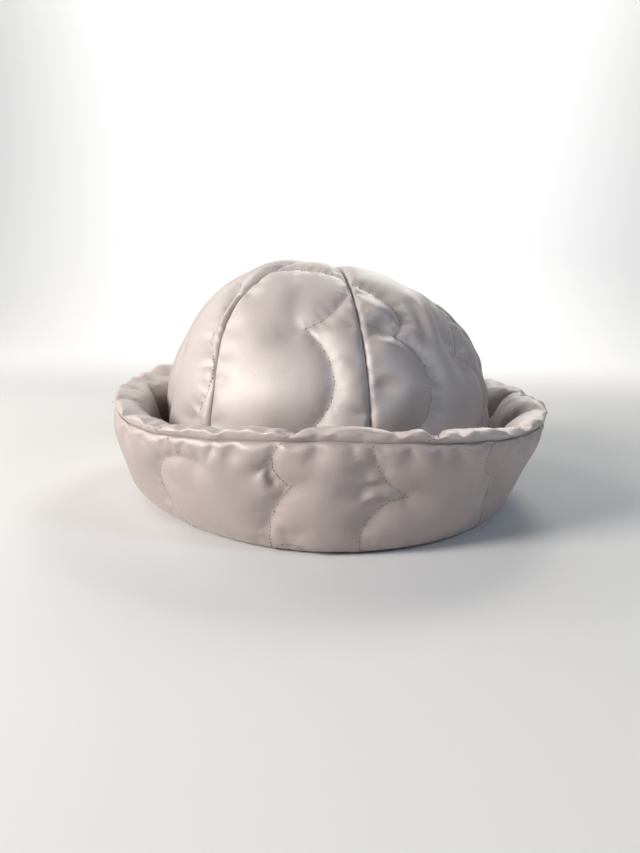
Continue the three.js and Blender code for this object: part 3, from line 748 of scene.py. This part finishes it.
# %% Closed crown panels
def close_panel(name, outer, inner, cloth_map):
    rows, columns = outer.shape[:2]
    count = rows * columns
    faces = [grid_faces(rows, columns, False), grid_faces(rows, columns, False, count)[:, ::-1]]
    left = np.arange(rows) * columns
    right = left + columns - 1
    foot = np.arange(columns)
    top = foot + (rows - 1) * columns
    for border, turn in ((left, 1), (right, -1), (foot, -1), (top, 1)):
        strip = np.stack([border[:-1], border[1:], border[1:] + count, border[:-1] + count], -1)
        faces.append(strip[:, ::turn])
    points = np.vstack([outer.reshape(-1, 3), inner.reshape(-1, 3)])
    maps = np.vstack([cloth_map.reshape(-1, 2)] * 2)
    border = np.zeros(len(points), bool)
    for side in (left, right, foot, top):
        border[side] = True
    return finish_mesh(name, points, np.vstack(faces), maps, border)


padded_pieces = []
for skin, grid in zip(crown_skins, crown_grids):
    out = -WALL / 2 - LINING_PUFF * skin["full"]
    number = skin["number"]
    inner = crown_place(number, skin["share"], skin["up"], out) + seam_shift(number)
    cloth_map = np.stack([skin["across"], skin["up"]], -1)
    piece = close_panel(f"quilted_panel_{number + 1}", grid, inner, cloth_map)
    padded_pieces.append((piece, f"crown_panel_{number + 1}", "satin"))
    print(piece.name, len(piece.data.polygons), "faces")

# %% Closed layers of the brim
def close_brim(name, visible, hidden, cloth_map):
    loops = np.concatenate([visible, hidden], 0)
    rows, columns = loops.shape[:2]
    faces = grid_faces(rows, columns, True)
    last = (rows - 1) * columns + np.arange(columns)
    first = np.arange(columns)
    faces = np.vstack([faces, np.stack([last, np.roll(last, -1), np.roll(first, -1), first], -1)])
    maps = np.concatenate([cloth_map, np.repeat(cloth_map[-1:], len(hidden), 0)], 0)
    border = np.zeros((rows, columns), bool)
    border[[0, len(visible) - 1]] = True
    return finish_mesh(name, loops.reshape(-1, 3), faces, maps.reshape(-1, 2), border.ravel())


def hidden_side(skin, rows, gap):
    """The side that a layer turns to the other one, a gap away from the middle line."""
    radius, height = rows.T
    run = np.gradient(rows, axis=0)
    run /= np.hypot(*run.T)[:, None]
    radius, height = radius - run[:, 1] * gap, height + run[:, 0] * gap
    angle = skin["angle"][-1]
    return np.stack([brim_place(angle, r, z) for r, z in zip(radius, height)])


def brim_map(skin):
    return np.stack([np.degrees(skin["angle"]) * MM_PER_DEGREE, skin["up"]], -1)


outer_piece = close_brim("turned_up_brim", outer_grid, hidden_side(outer_skin, BRIM_MIDDLE[1:-1], 0)[::-1],
                         brim_map(outer_skin))
facing_piece = close_brim("rolled_lip_and_facing", facing_grid,
                          hidden_side(facing_skin, BRIM_MIDDLE[2:-1], SEAM_GAP), brim_map(facing_skin))
padded_pieces += [(outer_piece, "brim_outer", "satin"), (facing_piece, "brim_facing", "lip_satin")]
for piece in (outer_piece, facing_piece):
    print(piece.name, len(piece.data.polygons), "faces")

# %% [markdown]
# ## Satin
# Principled BSDF gives it that with a dark base, a strong reflection and a middling roughness, which
# spreads the highlight. The outside of the brim has a darker, pinker base colour of its own, which is
# painted shade: it is the same satin, and the brim faces down and takes warm light bounced up from below.
# The lip is smoother, so it has values of its own. A group that puts out the height of the fine weave,
# and a second, larger unevenness of the cloth, is shared by every finish.

# %% The weave as a shader node group
SLUB_HEIGHT = 0.6  # of the larger unevenness, over that of the threads


def weave_group():
    group = bpy.data.node_groups.new("satin weave", "ShaderNodeTree")
    for label, default in (("Thread", 2400.0), ("Slub", 90.0)):
        socket = group.interface.new_socket(label, in_out="INPUT", socket_type="NodeSocketFloat")
        socket.default_value = default
    for label in ("Height", "Shade"):
        group.interface.new_socket(label, in_out="OUTPUT", socket_type="NodeSocketFloat")
    nodes, links = group.nodes, group.links
    given, result = nodes.new("NodeGroupInput"), nodes.new("NodeGroupOutput")
    place = nodes.new("ShaderNodeTexCoord")
    threads = nodes.new("ShaderNodeTexNoise")
    links.new(place.outputs["Object"], threads.inputs["Vector"])
    links.new(given.outputs["Thread"], threads.inputs["Scale"])
    threads.inputs["Detail"].default_value = 1.0
    slubs = nodes.new("ShaderNodeTexNoise")
    links.new(place.outputs["Object"], slubs.inputs["Vector"])
    links.new(given.outputs["Slub"], slubs.inputs["Scale"])
    slubs.inputs["Detail"].default_value = 3.0
    both = nodes.new("ShaderNodeMath")
    both.operation = "MULTIPLY_ADD"
    links.new(slubs.outputs["Fac"], both.inputs[0])
    both.inputs[1].default_value = SLUB_HEIGHT
    links.new(threads.outputs["Fac"], both.inputs[2])
    links.new(both.outputs["Value"], result.inputs["Height"])
    links.new(slubs.outputs["Fac"], result.inputs["Shade"])
    return group


weave = weave_group()
print("weave group:", len(weave.nodes), "nodes")

# %% Three finishes of satin, the brim's darkened with painted shade
def satin(name, colour, darker, roughness):
    material = bpy.data.materials.new(name)
    material.use_nodes = True
    nodes, links = material.node_tree.nodes, material.node_tree.links
    surface = nodes["Principled BSDF"]
    surface.inputs["Roughness"].default_value = roughness
    surface.inputs["IOR"].default_value = 1.6
    surface.inputs["Specular IOR Level"].default_value = 1.0
    surface.inputs["Anisotropic"].default_value = 0.5
    surface.inputs["Sheen Weight"].default_value = 0.2
    surface.inputs["Sheen Roughness"].default_value = 0.4
    fine = nodes.new("ShaderNodeGroup")
    fine.node_tree = weave
    tint = nodes.new("ShaderNodeMix")
    tint.data_type = "RGBA"
    tint.inputs["A"].default_value = (*darker, 1)
    tint.inputs["B"].default_value = (*colour, 1)
    links.new(fine.outputs["Shade"], tint.inputs["Factor"])
    links.new(tint.outputs["Result"], surface.inputs["Base Color"])
    bump = nodes.new("ShaderNodeBump")
    bump.inputs["Strength"].default_value = 0.5
    bump.inputs["Distance"].default_value = 0.00028
    links.new(fine.outputs["Height"], bump.inputs["Height"])
    links.new(bump.outputs["Normal"], surface.inputs["Normal"])
    return material


finishes = {
    "satin": satin("quilted satin", (0.42, 0.367, 0.352), (0.36, 0.315, 0.305), 0.5),
    # the brim's colours are painted shade: the crown's satin made darker and pinker for the shade and warm
    # bounce light on the brim
    "brim": satin("satin of the brim, darkened with painted shade", (0.36, 0.295, 0.28), (0.31, 0.258, 0.247), 0.5),
    "lip_satin": satin("satin of the lip", (0.43, 0.365, 0.35), (0.38, 0.32, 0.31), 0.46),
}
for piece, node, slot in padded_pieces:
    piece.data.materials.clear()
    # the outside of the brim takes the satin darkened with painted shade
    piece.data.materials.append(finishes["brim" if node == "brim_outer" else slot])
print("finishes:", ", ".join(material.name for material in finishes.values()))

# %% [markdown]
# ## Stitches
# A sewing machine leaves a row of short dashes, each pulled down at both ends. Geometry Nodes puts them
# along the quilting lines: it turns each line into a curve, resamples it by the length of a stitch, and
# sets a slim rounded dash on every point, turned along the line.

# %% The stitch tree
def stitch_tree():
    tree = bpy.data.node_groups.new("running stitch", "GeometryNodeTree")
    tree.interface.new_socket("Geometry", in_out="INPUT", socket_type="NodeSocketGeometry")
    for label, default in (("Pitch", 0.0021), ("Length", 0.0014), ("Thread", 0.0005)):
        socket = tree.interface.new_socket(label, in_out="INPUT", socket_type="NodeSocketFloat")
        socket.default_value = default
    tree.interface.new_socket("Material", in_out="INPUT", socket_type="NodeSocketMaterial")
    tree.interface.new_socket("Geometry", in_out="OUTPUT", socket_type="NodeSocketGeometry")
    nodes, links = tree.nodes, tree.links
    given, result = nodes.new("NodeGroupInput"), nodes.new("NodeGroupOutput")
    curve = nodes.new("GeometryNodeMeshToCurve")
    spaced = nodes.new("GeometryNodeResampleCurve")
    spaced.mode = "LENGTH"
    dash = nodes.new("GeometryNodeMeshUVSphere")
    dash.inputs["Segments"].default_value = 8
    dash.inputs["Rings"].default_value = 6
    dash.inputs["Radius"].default_value = 0.5  # one across, so that the scale is its size
    size = nodes.new("ShaderNodeCombineXYZ")
    tangent = nodes.new("GeometryNodeInputTangent")
    turn = nodes.new("FunctionNodeAlignRotationToVector")
    turn.axis = "Z"
    put = nodes.new("GeometryNodeInstanceOnPoints")
    real = nodes.new("GeometryNodeRealizeInstances")
    coat = nodes.new("GeometryNodeSetMaterial")
    links.new(given.outputs["Geometry"], curve.inputs["Mesh"])
    links.new(curve.outputs["Curve"], spaced.inputs["Curve"])
    links.new(given.outputs["Pitch"], spaced.inputs["Length"])
    for axis, label in (("X", "Thread"), ("Y", "Thread"), ("Z", "Length")):
        links.new(given.outputs[label], size.inputs[axis])
    links.new(tangent.outputs["Tangent"], turn.inputs["Vector"])
    links.new(spaced.outputs["Curve"], put.inputs["Points"])
    links.new(dash.outputs["Mesh"], put.inputs["Instance"])
    links.new(turn.outputs["Rotation"], put.inputs["Rotation"])
    links.new(size.outputs["Vector"], put.inputs["Scale"])
    links.new(put.outputs["Instances"], real.inputs["Geometry"])
    links.new(real.outputs["Geometry"], coat.inputs["Geometry"])
    links.new(given.outputs["Material"], coat.inputs["Material"])
    links.new(coat.outputs["Geometry"], result.inputs["Geometry"])
    return tree


def set_input(modifier, label, value):
    for item in modifier.node_group.interface.items_tree:
        if item.item_type == "SOCKET" and item.in_out == "INPUT" and item.name == label:
            modifier[item.identifier] = value


running_stitch = stitch_tree()
print("stitch tree:", len(running_stitch.nodes), "nodes")

# %% Sewing thread, darkened with painted shade
def thread_finish_with_painted_shade():
    material = bpy.data.materials.new("sewing thread darkened with painted shade")
    material.use_nodes = True
    nodes, links = material.node_tree.nodes, material.node_tree.links
    surface = nodes["Principled BSDF"]
    surface.inputs["Roughness"].default_value = 0.55
    place = nodes.new("ShaderNodeTexCoord")
    twist = nodes.new("ShaderNodeTexNoise")
    twist.inputs["Scale"].default_value = 400
    links.new(place.outputs["Object"], twist.inputs["Vector"])
    tint = nodes.new("ShaderNodeMix")
    tint.data_type = "RGBA"
    # both tints are painted shade: the dark of the needle holes and grooves the stitches sink into, as the
    # thread itself is near the satin's colour; the noise only varies the tone at random
    tint.inputs["A"].default_value = (0.16, 0.125, 0.12, 1)
    tint.inputs["B"].default_value = (0.26, 0.21, 0.2, 1)
    links.new(twist.outputs["Fac"], tint.inputs["Factor"])
    links.new(tint.outputs["Result"], surface.inputs["Base Color"])
    return material


thread = thread_finish_with_painted_shade()
print("thread:", thread.name)

# %% [markdown]
# The quilting lines lie on the swollen cloth, so each is read back from the grid of its skin: a place
# between four points of the grid, lifted a little out of the cloth.

# %% Read the cloth and sew on it
def read_grid(grid, row, column):
    """Points of the skin, and the direction out of it, at rows and columns that may be between points."""
    normal = outward(grid, False)
    j = np.clip(np.floor(row).astype(int), 0, grid.shape[0] - 2)
    i = np.floor(column).astype(int)
    fj, fi = (row - j)[:, None], (column - i)[:, None]
    i, k = i % grid.shape[1], (i + 1) % grid.shape[1]
    out = []
    for values in (grid, normal):
        low = values[j, i] * (1 - fi) + values[j, k] * fi
        high = values[j + 1, i] * (1 - fi) + values[j + 1, k] * fi
        out.append(low * (1 - fj) + high * fj)
    return out


def sew(name, tracks):
    points = np.vstack(tracks) * MM
    edges, first = [], 0
    for track in tracks:
        index = np.arange(first, first + len(track) - 1)
        edges.append(np.stack([index, index + 1], -1))
        first += len(track)
    mesh = bpy.data.meshes.new(name)
    mesh.from_pydata(points.tolist(), np.vstack(edges).tolist(), [])
    piece = bpy.data.objects.new(name, mesh)
    scene.collection.objects.link(piece)
    sewing = piece.modifiers.new("sewing", "NODES")
    sewing.node_group = running_stitch
    # the stitches take the thread colour that is darkened with painted shade
    set_input(sewing, "Material", thread)
    done = bpy.data.meshes.new_from_object(piece.evaluated_get(bpy.context.evaluated_depsgraph_get()))
    piece.modifiers.clear()
    piece.data = done
    done.name = name
    done.shade_smooth()
    print(name, len(done.polygons), "faces")
    return piece


THREAD_LIFT = 0.1
print("the thread lies %.1f mm above the cloth" % THREAD_LIFT)

# %% Sew the crown
SEWN_TO = 0.97  # share of a panel's half width, so that no stitch lies in a seam

crown_tracks = []
for skin, grid in zip(crown_skins, crown_grids):
    for panel, points, bulges in CROWN_STITCHING:
        if panel != skin["number"]:
            continue
        across, up = walk(arcs_of(points, bulges)).T
        share = across / half_width_at(panel, up)
        inside = np.abs(share) < SEWN_TO
        row = up[inside] / meridian.length * (grid.shape[0] - 1)
        column = (share[inside] + 1) / 2 * (grid.shape[1] - 1)
        place, out = read_grid(grid, row, column)
        crown_tracks.append(place + out * THREAD_LIFT)
crown_thread = sew("crown_quilting_thread", crown_tracks)

# %% Sew the brim
SEWN_FROM = 1  # millimetres from an edge of the cloth


def brim_tracks(skin, grid, stitching):
    tracks = []
    for points, bulges in stitching:
        marks = [(a * MM_PER_DEGREE, u) for a, u in points]
        across, up = walk(arcs_of(marks, bulges)).T
        inside = (up > SEWN_FROM) & (up < skin["curve"].length - SEWN_FROM)
        column = ((across[inside] / MM_PER_DEGREE - BRIM_START) / 360) * grid.shape[1]
        row = up[inside] / skin["curve"].length * (grid.shape[0] - 1)
        place, out = read_grid(grid, row, column)
        tracks.append(place + out * THREAD_LIFT)
    return tracks


brim_thread = sew("brim_quilting_thread", brim_tracks(outer_skin, outer_grid, BRIM_STITCHING))
facing_thread = sew("facing_quilting_thread", brim_tracks(facing_skin, facing_grid, FACING_STITCHING))

# %% [markdown]
# ## What moves with what
# Nothing on a cloth hat turns or slides, so every piece rides on the one body. Each padded piece stands
# for its plain solid, which is hidden.

# %% Ride and replace
for piece, node, slot in padded_pieces:
    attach(piece, "root")
    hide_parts(node)
for piece in (crown_thread, brim_thread, facing_thread):
    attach(piece, "root")
print("padded pieces:", len(padded_pieces), "and threads: 3")

# %% [markdown]
# ## The floor
# The hat stands on plain pale paper that curves up behind it, as in a studio, so that no horizon shows
# in the picture. It is matt, and nothing on it draws the eye.

# %% Floor
PAPER_TOP = 3.0
BEND_STEPS = 13


def floor_finish():
    material = bpy.data.materials.new("pale floor")
    material.use_nodes = True
    nodes, links = material.node_tree.nodes, material.node_tree.links
    surface = nodes["Principled BSDF"]
    surface.inputs["Roughness"].default_value = 0.9
    surface.inputs["Specular IOR Level"].default_value = 0.1
    surface.inputs["Base Color"].default_value = (0.62, 0.62, 0.62, 1)
    return material


def floor_sweep(front, back, width, bend):
    """A sheet of studio paper: flat under the hat, and curved up behind it."""
    turns = np.linspace(0, math.pi / 2, BEND_STEPS)
    side = [(front, 0.0)] + [(back + bend * math.sin(t), bend * (1 - math.cos(t))) for t in turns]
    side.append((back + bend, PAPER_TOP))
    points = [(x, y, z) for y, z in side for x in (-width, width)]
    faces = [(2 * k, 2 * k + 1, 2 * k + 3, 2 * k + 2) for k in range(len(side) - 1)]
    mesh = bpy.data.meshes.new("floor")
    mesh.from_pydata(points, [], faces)
    mesh.shade_smooth()
    mesh.materials.append(floor_finish())
    floor = bpy.data.objects.new("floor", mesh)
    scene.collection.objects.link(floor)
    return floor


floor_sweep(-3.0, 0.9, 4.0, 0.9)
print("the paper goes up %.1f m behind the hat" % PAPER_TOP)

# %% [markdown]
# ## Light
# Satin shows the room around it, so most of its shading comes from what it reflects. The room is bright
# low down and on the left, and dim overhead. A soft window low on the left gives the highlights, two
# weaker lights from behind brighten the top, and a small cool one fills the right. The fifth lamp
# shines on the paper behind, turned away from the hat.

# %% The room's own light
ROOM_FLOOR = (0.3, 0.3, 0.3)
ROOM_SIDES = [(0.5, (0.66, 0.65, 0.63)), (0.62, (0.56, 0.56, 0.56)), (0.8, (0.17, 0.18, 0.2))]
ROOM_TOP = (0.08, 0.09, 0.1)
ROOM_RIGHT = 0.2
ROOM_TURN = (-0.8, 0.5)  # from left to right, where the light falls to that share


def room_light():
    """A world that is bright near the horizon, dim overhead, and dimmer towards the right."""
    world = bpy.data.worlds.new("soft room")
    world.use_nodes = True
    nodes, links = world.node_tree.nodes, world.node_tree.links
    place = nodes.new("ShaderNodeTexCoord")
    parts = nodes.new("ShaderNodeSeparateXYZ")
    links.new(place.outputs["Generated"], parts.inputs["Vector"])
    height = nodes.new("ShaderNodeValToRGB")
    stops = height.color_ramp.elements
    stops[0].position, stops[0].color = 0.0, (*ROOM_FLOOR, 1)
    stops[1].position, stops[1].color = 1.0, (*ROOM_TOP, 1)
    for position, colour in ROOM_SIDES:
        stops.new(position).color = (*colour, 1)
    lift = nodes.new("ShaderNodeMath")
    lift.operation = "MULTIPLY_ADD"
    lift.inputs[1].default_value = lift.inputs[2].default_value = 0.5
    links.new(parts.outputs["Z"], lift.inputs[0])
    links.new(lift.outputs["Value"], height.inputs["Fac"])
    side = nodes.new("ShaderNodeMapRange")
    side.interpolation_type = "SMOOTHSTEP"
    side.inputs["From Min"].default_value, side.inputs["From Max"].default_value = ROOM_TURN
    side.inputs["To Min"].default_value = 1.0
    side.inputs["To Max"].default_value = ROOM_RIGHT
    links.new(parts.outputs["X"], side.inputs["Value"])
    sky = world.node_tree.nodes["Background"]
    links.new(height.outputs["Color"], sky.inputs["Color"])
    links.new(side.outputs["Result"], sky.inputs["Strength"])
    return world


scene.world = room_light()
print("room:", len(scene.world.node_tree.nodes), "nodes")

# %% Lamps
MIDDLE = (0, 0, 0.07)  # of the hat


def soft_light(name, place, aim, size, watts, colour):
    data = bpy.data.lights.new(name, "AREA")
    data.size = size
    data.energy = watts
    data.color = colour
    lamp = bpy.data.objects.new(name, data)
    scene.collection.objects.link(lamp)
    lamp.location = place
    lamp.rotation_euler = (Vector(aim) - Vector(place)).to_track_quat("-Z", "Y").to_euler()


# name, place, aim, size, watts, colour
soft_light("window on the left", (-0.92, -0.58, 0.52), MIDDLE, 0.4, 18.5, (1, 0.95, 0.9))
soft_light("sky behind on the left", (-0.8, 0.5, 0.75), MIDDLE, 0.4, 3, (1, 0.98, 0.93))
soft_light("sky behind on the right", (0.35, 0.9, 1.0), MIDDLE, 0.4, 6.5, (1, 0.97, 0.88))
soft_light("cool fill on the right", (0.82, -0.42, 0.6), MIDDLE, 0.2, 2.7, (0.7, 0.83, 1))
soft_light("light on the backdrop", (0, 0.9, 1.4), (0, 2.2, 0.9), 1.6, 34, (1, 1, 1))
print("lamps:", ", ".join(f"{lamp.name} {lamp.energy:.1f} W" for lamp in bpy.data.lights))

# %% [markdown]
# ## Camera
# The camera looks slightly down, from where the hat fills the same part of the picture as in the
# photograph. It stands as near as the photograph's perspective asks, and is rolled a little, as a
# camera is that is held by hand.

# %% Camera
CAMERA_BACK = 0.413
CAMERA_UP = 0.118
PITCH = math.radians(11.4)
ROLL = math.radians(1.7)
SENSOR = 36
IMAGE_HEIGHT = 853
FOCAL_PIXELS = 642
OFF_CENTRE = 9.4

camera_data = bpy.data.cameras.new("camera")
camera_data.sensor_width = SENSOR
camera_data.lens = SENSOR * FOCAL_PIXELS / IMAGE_HEIGHT
camera_data.shift_x = -OFF_CENTRE / IMAGE_HEIGHT
camera_data.clip_start = 0.01
camera = bpy.data.objects.new("camera", camera_data)
scene.collection.objects.link(camera)
camera.matrix_world = (Matrix.Translation((0, -CAMERA_BACK, CAMERA_UP))
                       @ Matrix.Rotation(math.pi / 2 - PITCH, 4, "X") @ Matrix.Rotation(ROLL, 4, "Z"))
scene.camera = camera
scene.view_settings.view_transform = "Standard"
print("lens, mm: %.1f" % camera_data.lens)
